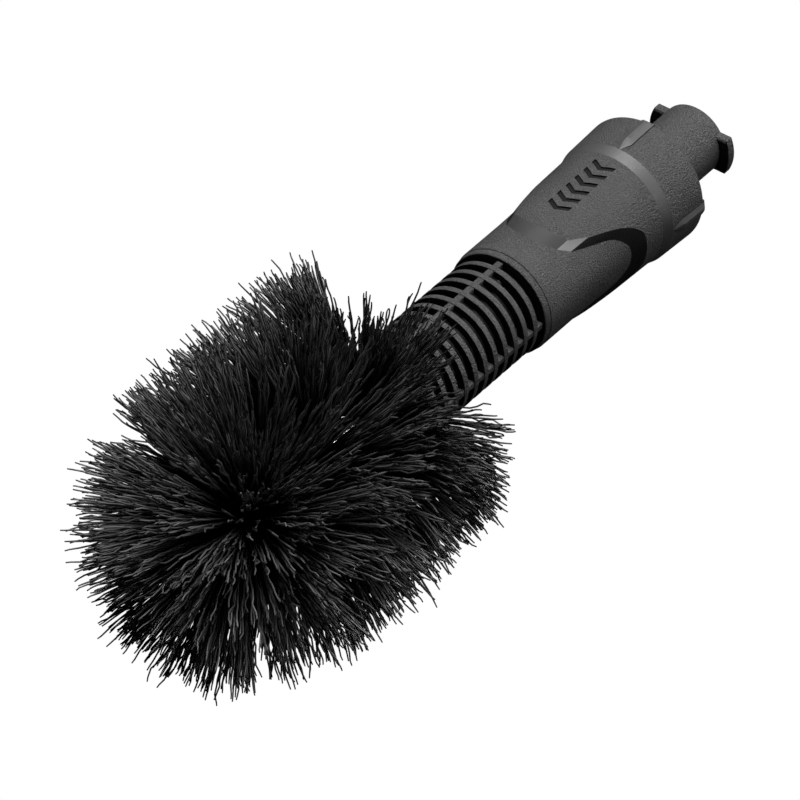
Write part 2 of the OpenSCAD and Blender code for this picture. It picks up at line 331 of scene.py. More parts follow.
def finished_piece(name, mesh, materials, nodes, smooth_angle=35):
    """Links a mesh as a piece on the root body, in place of CAD nodes."""
    for material in materials:
        mesh.materials.append(material)
    piece = bpy.data.objects.new(name, mesh)
    bpy.context.scene.collection.objects.link(piece)
    mesh.polygons.foreach_set("use_smooth", [True] * len(mesh.polygons))
    if smooth_angle:
        mesh.set_sharp_from_angle(angle=math.radians(smooth_angle))
    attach(piece, "root")
    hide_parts(*nodes)


def rounded(corners, steps=3):
    """Closed outline with each corner (r, x, radius) turned into an arc."""
    points = []
    for i, (r, x, radius) in enumerate(corners):
        here = Vector((r, x))
        before = Vector(corners[i - 1][:2]) - here
        after = Vector(corners[(i + 1) % len(corners)][:2]) - here
        if radius <= 0:
            points.append(here)
            continue
        cut = min(radius, before.length * 0.49, after.length * 0.49)
        start, end = here + before.normalized() * cut, here + after.normalized() * cut
        for k in range(steps + 1):
            t = k / steps
            points.append(start * (1 - t) ** 2 + here * 2 * t * (1 - t) + end * t * t)
    return points


def add_turned(bm, outline, segments):
    """Adds a closed solid of revolution about X; the outline runs (r, x) anticlockwise in that plane."""
    rings = []
    for r, x in outline:
        rings.append([bm.verts.new((x, r * math.sin(a), r * math.cos(a)))
                      for a in (math.tau * k / segments for k in range(segments))])
    for i, ring in enumerate(rings):
        following = rings[(i + 1) % len(rings)]
        for k in range(segments):
            n = (k + 1) % segments
            bm.faces.new((ring[k], ring[n], following[n], following[k]))


def mesh_from(bm, name):
    bmesh.ops.recalc_face_normals(bm, faces=bm.faces)
    mesh = bpy.data.meshes.new(name)
    bm.to_mesh(mesh)
    bm.free()
    return mesh


def through(points, value, corners=()):
    """Smooth curve through (position, height) points, with a sharp bend at the named positions."""
    def slope(i):
        if i in (0, len(points) - 1) or points[i][0] in corners:
            return None
        (x0, y0), (x1, y1), (x2, y2) = points[i - 1], points[i], points[i + 1]
        left, right = (y1 - y0) / (x1 - x0), (y2 - y1) / (x2 - x1)
        return 0.0 if left * right <= 0 else 2 * left * right / (left + right)
    i = max(k for k in range(len(points) - 1) if points[k][0] <= value or k == 0)
    (x0, y0), (x1, y1) = points[i], points[i + 1]
    line = (y1 - y0) / (x1 - x0)
    s0, s1 = slope(i), slope(i + 1)
    s0 = (0.0 if i == 0 else line) if s0 is None else s0
    s1 = (0.0 if i + 1 == len(points) - 1 else line) if s1 is None else s1
    t, w = (value - x0) / (x1 - x0), x1 - x0
    return ((2 * t ** 3 - 3 * t ** 2 + 1) * y0 + (t ** 3 - 2 * t ** 2 + t) * w * s0
            + (3 * t ** 2 - 2 * t ** 3) * y1 + (t ** 3 - t ** 2) * w * s1)


# ---------------------------------------------------------------- grip sleeve

# Sleeve sizes in millimetres; x is counted from the sleeve's front end
SLEEVE_LEN = (COLLAR_X - SLEEVE_X) / MM
COLLAR_LEN = 15.7
CHAMFER_LEN = 3.6
BORE_R = 15.0
FRONT_R = 17.3
BASE_R = 18.0
PANEL_FRONT_R = 18.3
PANEL_R = 19.5
COLLAR_R = 20.45
COLLAR_REAR_R = 21.0
STUB_HOLE_R = 11.1
RIM_W = 3.0
COLLAR_FRONT = SLEEVE_LEN - COLLAR_LEN
CHAMFER_FRONT = COLLAR_FRONT - CHAMFER_LEN
RIM_R = 1.7
LIP, EDGE_GAP = 0.28, 0.35
# Angles at which the panel's bevelled edge turns, from its front to its corner facet and then to its side
FRONT_TURN, SIDE_TURN = 32, 42
# Foot and top of that edge: (degrees from the panel's middle, x)
EDGE_FOOT = [(0, 10.1), (15, 11.0), (FRONT_TURN, 13.7), (SIDE_TURN, 17.3), (48.5, 23.3), (54, 29.1),
             (60, 33.4), (69, 36.7), (80, 39.0), (90, 39.4)]
EDGE_TOP = [(0, 15.3), (14, 15.9), (FRONT_TURN, 18.1), (SIDE_TURN, 25.1), (48.5, 31.9), (55.5, 37.7),
            (65, 42.5), (74, 44.8), (90, 45.2)]
# Points along the sleeve's outline: on its base, its panel, its collar and its rounded rim
BASE_STEPS, PANEL_STEPS, COLLAR_STEPS, RIM_STEPS = 11, 14, 7, 10
SLEEVE_COLUMNS = 360
# The sleeve's materials, in the order of its slots: the third is painted shade, the fourth a painted
# highlight, the fifth a less glossy satin painted a little darker
GRAINED, SMOOTH, PAINTED_SHADE, PAINTED_HIGHLIGHT, SATIN_PAINTED_DARKER = range(5)


def base_radius(x):
    start = 17.0
    return FRONT_R + (BASE_R - FRONT_R) * max(0.0, x - start) / (CHAMFER_FRONT - start)


def panel_radius(x):
    start = 14.0
    return PANEL_FRONT_R + (PANEL_R - PANEL_FRONT_R) * (x - start) / (CHAMFER_FRONT - start)


def sleeve_column(angle):
    """(r, x, material) points of the sleeve at one angle, from the front bore to the rear bore."""
    fold = abs((angle + 90) % 180 - 90)
    foot = through(EDGE_FOOT, fold, corners=(FRONT_TURN, SIDE_TURN))
    top = through(EDGE_TOP, fold, corners=(FRONT_TURN, SIDE_TURN))
    points = [(BORE_R, 0.15, GRAINED), (BORE_R + 0.15, 0, GRAINED), (FRONT_R - 0.25, 0, GRAINED),
              (FRONT_R - 0.07, 0.08, GRAINED), (FRONT_R, LIP, GRAINED)]
    for k in range(1, BASE_STEPS + 1):
        x = LIP + (foot - EDGE_GAP - LIP) * k / BASE_STEPS
        points.append((base_radius(x), x, GRAINED))
    low, high = base_radius(foot), panel_radius(top)
    left = angle % 180 < 90
    # The edge's front is satin painted a little darker; the right corner facet gets a painted highlight; the
    # left facet and the side walls get painted shade
    finish = SATIN_PAINTED_DARKER if fold < FRONT_TURN else PAINTED_HIGHLIGHT if fold < SIDE_TURN and not left else PAINTED_SHADE
    for t in (0.0, 0.25, 0.5, 0.75):
        points.append((low + (high - low) * t, foot + (top - foot) * t, finish))
    points.append((high, top, GRAINED))
    for k in range(1, PANEL_STEPS + 1):
        x = top + EDGE_GAP + (CHAMFER_FRONT - 0.3 - top - EDGE_GAP) * k / PANEL_STEPS
        points.append((panel_radius(x), x, GRAINED))
    points += [(PANEL_R + 0.02, CHAMFER_FRONT, SMOOTH), (PANEL_R + 0.12, CHAMFER_FRONT + 0.3, SMOOTH),
               (COLLAR_R - 0.12, COLLAR_FRONT - 0.3, SMOOTH), (COLLAR_R, COLLAR_FRONT, GRAINED)]
    for k in range(1, COLLAR_STEPS):
        share = k / COLLAR_STEPS
        points.append((COLLAR_R + (COLLAR_REAR_R - COLLAR_R) * share,
                       COLLAR_FRONT + (COLLAR_LEN - 1.8) * share, GRAINED))
    for k in range(RIM_STEPS + 1):
        a = math.radians(90 * k / RIM_STEPS)
        points.append((COLLAR_REAR_R - RIM_R * (1 - math.cos(a)),
                       SLEEVE_LEN - RIM_R * (1 - math.sin(a)), GRAINED))
    points += [(STUB_HOLE_R + 0.3, SLEEVE_LEN, GRAINED), (STUB_HOLE_R, SLEEVE_LEN - 0.3, GRAINED),
               (STUB_HOLE_R, SLEEVE_LEN - RIM_W, GRAINED), (BORE_R, SLEEVE_LEN - RIM_W, GRAINED)]
    return points


def collar_rib(bm, angle):
    """Gable-topped rib along the collar that starts in a point and runs over the rear rim."""
    half, flat, rise, bevel, sink = 2.1, 0.55, 1.15, 0.75, 1.2
    turn = Matrix.Rotation(math.radians(angle), 4, "X")
    rows = []
    # Sections along the rib: (x from the collar's front, share of the width, share of the rise)
    for x, width, lift in ((0.1, 0.12, 0.02), (3.4, 1.0, 0.72), (4.6, 1.0, 1.0), (9.0, 1.0, 1.0),
                           (13.2, 1.0, 1.0), (14.3, 1.0, 0.85), (15.1, 0.97, 0.2), (15.6, 0.93, -0.8)):
        share = x / COLLAR_LEN
        surface = COLLAR_R + (COLLAR_REAR_R - COLLAR_R) * share
        over = surface + rise * lift
        side = surface + (rise - bevel) * lift
        row = [(-half * width, surface - sink), (-half * width, side), (-flat * width, over),
               (flat * width, over), (half * width, side), (half * width, surface - sink)]
        rows.append([bm.verts.new(turn @ Vector((SLEEVE_X + (COLLAR_FRONT + x) * MM, y * MM, z * MM)))
                     for y, z in row])
    for a, b in zip(rows, rows[1:]):
        for k in range(6):
            n = (k + 1) % 6
            face = bm.faces.new((a[k], a[n], b[n], b[k]))
            # The rib's two flanks get painted shade; the rest gets the smooth finish
            face.material_index = PAINTED_SHADE if k in (0, 4) else SMOOTH
    for end in (rows[0], list(reversed(rows[-1]))):
        face = bm.faces.new(end)
        face.material_index = SMOOTH


ARROW_COUNT, ARROW_FIRST_X, ARROW_PITCH = 6, 24.0, 4.4
ARROW_HALF, ARROW_RISE, ARROW_W, ARROW_DEPTH, ARROW_CUT = 3.7, 2.3, 1.9, 0.5, 1.5


def arrow_cutter():
    """Row of plain arrowheads that point to the bristles, as solids to engrave in the upper panel."""
    bm = bmesh.new()
    steps = 8
    for k in range(ARROW_COUNT):
        x = ARROW_FIRST_X + ARROW_PITCH * k
        floor = panel_radius(x + 1) - ARROW_DEPTH
        layers = []
        for radius in (floor, floor + ARROW_CUT):
            front, back = [], []
            for i in range(steps + 1):
                y = ARROW_HALF * (2 * i / steps - 1)
                z = math.sqrt(radius ** 2 - y * y)
                along = x + ARROW_RISE * abs(y) / ARROW_HALF
                front.append(bm.verts.new((SLEEVE_X + along * MM, y * MM, z * MM)))
                back.append(bm.verts.new((SLEEVE_X + (along + ARROW_W) * MM, y * MM, z * MM)))
            layers.append((front, back))
        (low_front, low_back), (top_front, top_back) = layers
        for i in range(steps):
            bm.faces.new((low_front[i], low_front[i + 1], low_back[i + 1], low_back[i]))
            bm.faces.new((top_front[i], top_back[i], top_back[i + 1], top_front[i + 1]))
            bm.faces.new((low_front[i], top_front[i], top_front[i + 1], low_front[i + 1]))
            bm.faces.new((low_back[i], low_back[i + 1], top_back[i + 1], top_back[i]))
        for i in (0, steps):
            bm.faces.new((low_front[i], low_back[i], top_back[i], top_front[i]))
    # The cutter's faces carry painted shade into the engraved walls and floors
    for face in bm.faces:
        face.material_index = PAINTED_SHADE
    return mesh_from(bm, "arrow_cutter")


def engraved(mesh, cutter, materials):
    """The mesh with the cutter taken away from it."""
    for material in materials:
        mesh.materials.append(material)
        cutter.materials.append(material)
    body = bpy.data.objects.new("engraving", mesh)
    tool = bpy.data.objects.new("engraving_tool", cutter)
    for obj in (body, tool):
        bpy.context.scene.collection.objects.link(obj)
    cut = body.modifiers.new("cut", "BOOLEAN")
    cut.operation, cut.solver, cut.object = "DIFFERENCE", "EXACT", tool
    bpy.context.view_layer.update()
    depsgraph = bpy.context.evaluated_depsgraph_get()
    result = bpy.data.meshes.new_from_object(body.evaluated_get(depsgraph))
    for obj in (body, tool):
        bpy.data.objects.remove(obj)
    return result


def make_grip_sleeve(finishes):
    bm = bmesh.new()
    columns = []
    for k in range(SLEEVE_COLUMNS):
        angle = 360 * k / SLEEVE_COLUMNS
        a = math.radians(angle)
        columns.append([(bm.verts.new((SLEEVE_X + x * MM, r * MM * math.sin(a), r * MM * math.cos(a))), m)
                        for r, x, m in sleeve_column(angle)])
    for k, column in enumerate(columns):
        following = columns[(k + 1) % SLEEVE_COLUMNS]
        for i in range(len(column)):
            j = (i + 1) % len(column)
            face = bm.faces.new((column[i][0], column[j][0], following[j][0], following[i][0]))
            face.material_index = column[i][1]
    shell = engraved(mesh_from(bm, "sleeve_shell"), arrow_cutter(), finishes)
    bm = bmesh.new()
    bm.from_mesh(shell)
    for angle in range(0, 360, 90):
        collar_rib(bm, angle)
    mesh = mesh_from(bm, "grip_sleeve_shell")
    finished_piece("grip_sleeve_shell", mesh, finishes, ["grip_sleeve"], 12)


# ---------------------------------------------------------------- stub and neck

# Stub sizes in millimetres; x is counted from the stub's rear rim
INLET_R, STUB_R, FLANGE_R, SEAL_BORE_R = 6.0, 11.0, 14.4, 7.3
SHOULDER_X, STUB_FRONT_X = -10.6, -32.0
LUG_FOOT_R, LUG_TOP_R, LUG_HALF, LUG_FRONT_X = 10.6, 14.4, 6.15, -2.9
# A face whose normal runs along X at least this much gets painted shade: a near-black copy of the plastic
SQUARE = 0.85


def make_bayonet_stub(grained, shade_painted):
    flange_x = (COLLAR_X - RIM_W * MM) / MM - 0.1
    bm = bmesh.new()
    corners = [(INLET_R, 0, 0.5), (STUB_R, 0, 0.5), (STUB_R, flange_x, 0.2), (FLANGE_R, flange_x, 0.3),
               (FLANGE_R, STUB_FRONT_X, 0.3), (SEAL_BORE_R, STUB_FRONT_X, 0.3),
               (SEAL_BORE_R, SHOULDER_X, 0.1), (INLET_R, SHOULDER_X, 0.1)]
    add_turned(bm, [p * MM for p in rounded(corners)], 128)
    for side in (-1, 1):
        add_lug(bm, side)
    bmesh.ops.recalc_face_normals(bm, faces=bm.faces)
    # The lugs' front faces get painted shade
    for face in bm.faces:
        middle = face.calc_center_median()
        on_lug = abs(middle.y) > (STUB_R + 0.2) * MM
        face.material_index = 1 if face.normal.x < -SQUARE and on_lug else 0
    finished_piece("bayonet_stub_body", mesh_from(bm, "bayonet_stub_body"), [grained, shade_painted],
                   ["bayonet_stub"])


def add_lug(bm, side):
    """Lug with parallel flanks and a round back, flush with the stub's rim."""
    front, back, steps = LUG_FRONT_X, -0.05, 16
    outline = []
    for k in range(steps + 1):
        z = LUG_HALF * (2 * k / steps - 1)
        outline.append((math.sqrt(LUG_TOP_R ** 2 - z * z), z))
    for k in range(steps + 1):
        z = LUG_HALF * (1 - 2 * k / steps)
        outline.append((math.sqrt(LUG_FOOT_R ** 2 - z * z), z))
    rows = []
    # Sections along the lug: (x, how far its rounded edge steps in)
    for x, inset in ((front, 0.25), (front + 0.12, 0.07), (front + 0.3, 0.0), (back - 0.3, 0.0),
                     (back - 0.1, 0.07), (back, 0.25)):
        scale = 1 - inset / LUG_HALF
        row = []
        for index, (y, z) in enumerate(outline):
            height = y - inset if index <= steps else y
            row.append(bm.verts.new((x * MM, side * height * MM, z * scale * MM)))
        rows.append(row)
    count = len(outline)
    for a, b in zip(rows, rows[1:]):
        for k in range(count):
            n = (k + 1) % count
            bm.faces.new((a[k], a[n], b[n], b[k]))
    for row in (rows[0], rows[-1]):
        for k in range(steps):
            bm.faces.new((row[k], row[k + 1], row[count - 2 - k], row[count - 1 - k]))


# Neck sizes in millimetres
RING_PITCH, RING_W, RING_R, RING_IN_R, RING_COUNT = 4.82, 2.0, 16.0, 13.4, 10
SPINE_R, SPINE_LOW_R, SPINE_W = 15.85, 13.5, 2.1
FLANGE_W, FIRST_RING_GAP = 2.3, 4.6
SPIGOT_R, SPIGOT_BORE_R, SPIGOT_END = 14.9, 13.2, 12.2


def ring_tree(material):
    """Geometry Nodes: one ring, turned from a rounded section and repeated along X."""
    tree, given = new_tree("neck_rings", (("Section", "NodeSocketGeometry", None),
                                          ("Count", "NodeSocketInt", RING_COUNT),
                                          ("Pitch", "NodeSocketFloat", RING_PITCH * MM)))
    line = new_node(tree, "GeometryNodeMeshLine")
    tree.links.new(given["Count"], line.inputs["Count"])
    step = vector_of(tree, calc(tree, "MULTIPLY", given["Pitch"], -1.0), 0.0, 0.0)
    tree.links.new(step, line.inputs["Offset"])
    copies = new_node(tree, "GeometryNodeInstanceOnPoints")
    tree.links.new(line.outputs[0], copies.inputs["Points"])
    tree.links.new(given["Section"], copies.inputs["Instance"])
    close_tree(tree, copies.outputs[0], material)
    return tree


def baked(name, mesh, tree, inputs=()):
    """Runs a node tree on a mesh and returns the plain mesh that comes out."""
    holder = bpy.data.objects.new(name, mesh)
    bpy.context.scene.collection.objects.link(holder)
    modifier = holder.modifiers.new(name, "NODES")
    modifier.node_group = tree
    identifiers = {item.name: item.identifier for item in tree.interface.items_tree
                   if item.item_type == "SOCKET" and item.in_out == "INPUT"}
    for key, value in inputs:
        modifier[identifiers[key]] = value
    bpy.context.view_layer.update()
    depsgraph = bpy.context.evaluated_depsgraph_get()
    result = bpy.data.meshes.new_from_object(holder.evaluated_get(depsgraph))
    holder.modifiers.remove(modifier)
    bpy.data.objects.remove(holder)
    result.name = name
    return result


def make_neck_cage(grained, shade_painted):
    flange_x = SLEEVE_X / MM - FLANGE_W
    first_ring = flange_x - FIRST_RING_GAP
    nose = NOSE_X / MM
    section = bmesh.new()
    ring = [(RING_IN_R, first_ring, 0.3), (RING_IN_R, first_ring + RING_W, 0.3),
            (RING_R, first_ring + RING_W, 0.3), (RING_R, first_ring, 0.2)]
    add_turned(section, [p * MM for p in rounded(ring)], 128)
    rings = baked("neck_rings", mesh_from(section, "neck_ring"), ring_tree(grained))
    bm = bmesh.new()
    bm.from_mesh(rings)
    collar = [(SPIGOT_BORE_R, flange_x, 0.2), (SPIGOT_BORE_R, flange_x + SPIGOT_END, 0.2),
              (SPIGOT_R, flange_x + SPIGOT_END, 0.3), (SPIGOT_R, flange_x + 2.2, 0),
              (17.1, flange_x + 2.2, 0.12), (16.9, flange_x, 0.45)]
    add_turned(bm, [p * MM for p in rounded(collar)], 192)
    plate = [(8.1, nose, 0.2), (8.1, nose + 2.4, 0.2), (15.8, nose + 2.4, 0.4), (15.8, nose + 1, 0.4),
             (14.4, nose, 0.4), (9.5, nose - 1.5, 0.3)]
    add_turned(bm, [p * MM for p in rounded(plate)], 96)
    for angle in range(0, 360, 90):
        add_spine(bm, angle, nose + 1.2, flange_x + 0.8)
    # Faces that look along X, such as the rings' sides and the flange and plate faces, get painted shade
    bm.normal_update()
    for face in bm.faces:
        face.material_index = 1 if abs(face.normal.x) > SQUARE else 0
    finished_piece("neck_cage_lantern", mesh_from(bm, "neck_cage_lantern"), [grained, shade_painted],
                   ["neck_cage"])


def add_spine(bm, angle, start, end):
    """Rounded bar that joins the rings along the neck."""
    turn = Matrix.Rotation(math.radians(angle), 4, "X")
    half = SPINE_W / 2
    section = rounded([(-half, SPINE_LOW_R, 0.1), (half, SPINE_LOW_R, 0.1), (half, SPINE_R - 0.1, 0.4),
                       (-half, SPINE_R - 0.1, 0.4)])
    rows = [[bm.verts.new(turn @ Vector((x * MM, p[0] * MM, p[1] * MM))) for p in section]
            for x in (start, end)]
    count = len(section)
    for k in range(count):
        n = (k + 1) % count
        bm.faces.new((rows[0][k], rows[0][n], rows[1][n], rows[1][k]))
    bm.faces.new(rows[0])
    bm.faces.new(list(reversed(rows[1])))


# ---------------------------------------------------------------- bristles

# Bristle sizes in metres
FILAMENT_R = 0.00028
ROOT_R = 0.0012
TURN_PITCH = 0.024
HELIX_X = -0.1623
HELIX_PHASE = math.radians(54)
TIP_X = WIRE_TIP_X + 0.003
# Partings in the bristles: (x of the apex, direction across, direction of the middle, width, push, focus)
PARTINGS = (
    (TIP_X, Vector((0.237, 0.683, 0.690)), Vector((-0.625, -0.437, 0.647)), 0.06, 0.07, 8.0),
    (TIP_X, Vector((-0.652, 0.748, -0.125)), Vector((-0.429, -0.500, -0.753)), 0.08, 0.12, 4.5),
    (TIP_X, Vector((0.759, -0.147, 0.634)), Vector((-0.183, 0.887, 0.424)), 0.10, 0.13, 4.0),
    (HELIX_X, Vector((0.505, -0.858, -0.093)), Vector((0.595, 0.268, 0.757)), 0.08, 0.05, 4.0),
)
# Side of the head on which the rows lean and fan the most
FULL_SIDE = math.radians(-34)
# A filament's bend at its tip, on its own and with its clump, its curl, and the radians of wave along it
BEND, CLUMP_BEND, CURL, WAVE = 0.0023, 0.010, 0.00050, 33.0
# Radius of the path through the noise that makes clumps, and the scales of broad and fine clumps
CLUMP_R, BROAD_CLUMPS, FINE_CLUMPS = 5.0, 0.9, 2.6
# Share of a filament over which its painted root shade fades into its own colour
PAINTED_SHADE_FADE = 0.45


def random_value(tree, seed, offset, low=0.0, high=1.0):
    node = tree.nodes.new("FunctionNodeRandomValue")
    node.data_type = "FLOAT"
    sockets = {socket.name: socket for socket in node.inputs if socket.enabled}
    sockets["Min"].default_value, sockets["Max"].default_value = low, high
    tree.links.new(calc(tree, "ADD", seed, offset), sockets["Seed"])
    return output_of(node, "Value")


def random_vector(tree, seed, offset, size):
    return vector_of(tree, *(random_value(tree, seed, offset + k, -size, size) for k in range(3)))


def stored(tree, geometry, name, kind, value):
    node = tree.nodes.new("GeometryNodeStoreNamedAttribute")
    node.data_type, node.domain = kind, "POINT"
    tree.links.new(geometry, node.inputs["Geometry"])
    node.inputs["Name"].default_value = name
    socket = next(s for s in node.inputs if s.enabled and s.name == "Value")
    tree.links.new(value, socket)
    return node.outputs["Geometry"]


def named(tree, name, kind):
    node = tree.nodes.new("GeometryNodeInputNamedAttribute")
    node.data_type = kind
    node.inputs["Name"].default_value = name
    return output_of(node, "Attribute")


def dot(tree, vector, axis):
    node = new_node(tree, "ShaderNodeVectorMath", operation="DOT_PRODUCT")
    tree.links.new(vector, node.inputs[0])
    node.inputs[1].default_value = axis
    return node.outputs["Value"]


def combed(tree, root, direction):
    """Pushes bristles away from each parting, most strongly those that end close to its line."""
    for apex, across, toward, width, push, focus in PARTINGS:
        start = vector_calc(tree, "SUBTRACT", root, Vector((apex, 0, 0)))
        ending = vector_calc(tree, "ADD", direction, vector_calc(tree, "SCALE", start, 1 / BRUSH_R))
        offset = dot(tree, ending, across)
        near = calc(tree, "DIVIDE", offset, width)
        fade = calc(tree, "EXPONENT", calc(tree, "MULTIPLY", calc(tree, "MULTIPLY", near, near), -0.5))
        facing = clamped(tree, dot(tree, ending, toward))
        amount = calc(tree, "MULTIPLY", fade, calc(tree, "POWER", facing, focus))
        amount = calc(tree, "MULTIPLY", calc(tree, "MULTIPLY", amount, push), calc(tree, "SIGN", offset))
        direction = vector_calc(tree, "ADD", direction, vector_calc(tree, "SCALE", across, amount))
    return vector_calc(tree, "NORMALIZE", direction)


def clump_noise(tree, place, scale):
    """Slowly changing vector, about -0.5 to 0.5, that bends neighbouring bristles alike."""
    node = tree.nodes.new("ShaderNodeTexNoise")
    tree.links.new(place, node.inputs["Vector"])
    node.inputs["Scale"].default_value = scale
    node.inputs["Detail"].default_value = 1.0
    return vector_calc(tree, "SUBTRACT", node.outputs["Color"], (0.5, 0.5, 0.5))


def clump_at(tree, place):
    """Broad and fine clumps together."""
    return vector_calc(tree, "ADD", clump_noise(tree, place, BROAD_CLUMPS),
                       clump_noise(tree, place, FINE_CLUMPS))


def grow_filaments(tree, given, root, aim, clump):
    """From one point a bristle: a wavy, slightly bent filament from root along aim, closed at both ends."""
    seed = given["Seed"]
    points = tree.nodes.new("GeometryNodePoints")
    tree.links.new(given["Count"], points.inputs["Count"])
    bend = vector_calc(tree, "ADD", random_vector(tree, seed, 20, BEND),
                       vector_calc(tree, "SCALE", clump, CLUMP_BEND))
    geometry = points.outputs[0]
    for name, kind, value in (("root", "FLOAT_VECTOR", root), ("aim", "FLOAT_VECTOR", aim),
                              ("bend", "FLOAT_VECTOR", bend),
                              ("curl", "FLOAT_VECTOR", random_vector(tree, seed, 30, CURL)),
                              ("phase", "FLOAT", random_value(tree, seed, 40, 0.0, math.tau)),
                              ("tint", "FLOAT", random_value(tree, seed, 41, 0.3, 0.7))):
        geometry = stored(tree, geometry, name, kind, value)
    line = new_node(tree, "GeometryNodeCurvePrimitiveLine")
    strand = new_node(tree, "GeometryNodeResampleCurve")
    tree.links.new(line.outputs[0], strand.inputs["Curve"])
    tree.links.new(given["Points"], strand.inputs["Count"])
    copies = new_node(tree, "GeometryNodeInstanceOnPoints")
    tree.links.new(geometry, copies.inputs["Points"])
    tree.links.new(strand.outputs[0], copies.inputs["Instance"])
    real = new_node(tree, "GeometryNodeRealizeInstances")
    tree.links.new(copies.outputs[0], real.inputs[0])
    even = tree.nodes.new("GeometryNodeSplineParameter").outputs["Factor"]
    along = calc(tree, "SUBTRACT", 1.0, calc(tree, "POWER", calc(tree, "SUBTRACT", 1.0, even), 1.5))
    # Painted shade: near black and less glossy from the root up to the shaded part, lightening over the
    # fade, and darkening again over the last stretch of the tip
    clear = calc(tree, "DIVIDE", calc(tree, "SUBTRACT", along, given["Painted shade part"]), PAINTED_SHADE_FADE)
    clear = clamped(tree, clear)
    clear = calc(tree, "MULTIPLY", clear, calc(tree, "SUBTRACT", 1.0, calc(tree, "POWER", even, 30.0)))
    marked = stored(tree, real.outputs[0], "lit", "FLOAT", clear)
    wave = calc(tree, "SINE", calc(tree, "ADD", calc(tree, "MULTIPLY", along, WAVE),
                                   named(tree, "phase", "FLOAT")))
    wave = calc(tree, "MULTIPLY", wave, calc(tree, "POWER", along, 1.5))
    place = vector_calc(tree, "ADD", named(tree, "root", "FLOAT_VECTOR"),
                        vector_calc(tree, "SCALE", named(tree, "aim", "FLOAT_VECTOR"), along))
    bent = vector_calc(tree, "SCALE", named(tree, "bend", "FLOAT_VECTOR"), calc(tree, "POWER", along, 2.2))
    curled = vector_calc(tree, "SCALE", named(tree, "curl", "FLOAT_VECTOR"),
                         calc(tree, "MULTIPLY", wave, given["Curl"]))
    place = vector_calc(tree, "ADD", place, vector_calc(tree, "ADD", bent, curled))
    moved = new_node(tree, "GeometryNodeSetPosition")
    tree.links.new(marked, moved.inputs["Geometry"])
    tree.links.new(place, moved.inputs["Position"])
    thinned = calc(tree, "SUBTRACT", 1.0, calc(tree, "MULTIPLY", calc(tree, "POWER", even, 24.0), 0.3))
    section = new_node(tree, "GeometryNodeCurvePrimitiveCircle")
    section.inputs["Resolution"].default_value = 5
    tree.links.new(given["Filament radius"], section.inputs["Radius"])
    tubes = new_node(tree, "GeometryNodeCurveToMesh")
    tree.links.new(moved.outputs[0], tubes.inputs["Curve"])
    tree.links.new(section.outputs[0], tubes.inputs["Profile Curve"])
    tubes.inputs["Fill Caps"].default_value = True
    tree.links.new(thinned, tubes.inputs["Scale"])
    close_tree(tree, tubes.outputs[0], given["Material"])


COMMON_SIZES = [("Count", "NodeSocketInt", 1000), ("Seed", "NodeSocketInt", 1),
                ("Points", "NodeSocketInt", 9), ("Filament radius", "NodeSocketFloat", FILAMENT_R),
                ("Material", "NodeSocketMaterial", None), ("Reach", "NodeSocketFloat", BRUSH_R),
                ("Curl", "NodeSocketFloat", 1.0), ("Painted shade part", "NodeSocketFloat", 0.57)]


def helix_tree():
    """Bristles along a stretch of the helical row: tips gather on the ridge, with a groove between turns."""
    tree, given = new_tree("bristle_helix", COMMON_SIZES + [
        ("Turn start", "NodeSocketFloat", 0.0), ("Turn end", "NodeSocketFloat", 1.0),
        ("Start x", "NodeSocketFloat", HELIX_X), ("Tilt spread", "NodeSocketFloat", math.radians(18)),
        ("Lean", "NodeSocketFloat", 0.0)])
    seed = given["Seed"]
    row_width, root_scatter = 0.16, 0.002
    turn_lean, side_lean, side_fan = math.radians(-9.5), math.radians(4.0), 0.28
    clump_tilt, clump_swing = 0.28, 0.35
    span = calc(tree, "SUBTRACT", given["Turn end"], given["Turn start"])
    turn = calc(tree, "ADD", given["Turn start"], calc(tree, "MULTIPLY", random_value(tree, seed, 1), span))
    ridge_angle = calc(tree, "SUBTRACT", HELIX_PHASE, calc(tree, "MULTIPLY", turn, math.tau))
    angle = calc(tree, "ADD", ridge_angle, random_value(tree, seed, 2, -row_width, row_width))
    x = calc(tree, "SUBTRACT", given["Start x"], calc(tree, "MULTIPLY", turn, TURN_PITCH))
    share = random_value(tree, seed, 4, -1.0, 1.0)
    root_x = calc(tree, "ADD", x, calc(tree, "MULTIPLY", share, root_scatter))
    clump = clump_at(tree, around_axis(tree, calc(tree, "MULTIPLY", root_x, 100.0), angle, CLUMP_R))
    pull = new_node(tree, "ShaderNodeSeparateXYZ", (clump,)).outputs
    facing = calc(tree, "MAXIMUM", calc(tree, "COSINE", calc(tree, "SUBTRACT", angle, FULL_SIDE)), 0.0)
    fullness = calc(tree, "MULTIPLY", facing, turn)
    lean = calc(tree, "ADD", calc(tree, "MULTIPLY", turn, turn_lean), given["Lean"])
    lean = calc(tree, "ADD", lean, calc(tree, "MULTIPLY", fullness, side_lean))
    fan = calc(tree, "ADD", 1.0, calc(tree, "MULTIPLY", fullness, side_fan))
    tilt = calc(tree, "ADD", lean, calc(tree, "MULTIPLY", calc(tree, "MULTIPLY", share, fan),
                                        given["Tilt spread"]))
    tilt = calc(tree, "ADD", tilt, calc(tree, "MULTIPLY", pull[0], clump_tilt))
    aim_angle = calc(tree, "ADD", angle, calc(tree, "MULTIPLY", pull[1], clump_swing))
    flat = calc(tree, "COSINE", tilt)
    direction = around_axis(tree, calc(tree, "SINE", tilt), aim_angle, flat)
    root = around_axis(tree, root_x, angle, ROOT_R)
    direction = combed(tree, root, direction)
    reach = calc(tree, "ADD", given["Reach"], random_value(tree, seed, 7, -0.003, 0.001))
    length = calc(tree, "DIVIDE", calc(tree, "SUBTRACT", reach, 0.0024),
                  calc(tree, "MAXIMUM", flat, 0.85))
    grow_filaments(tree, given, root, vector_calc(tree, "SCALE", direction, length), clump)
    return tree


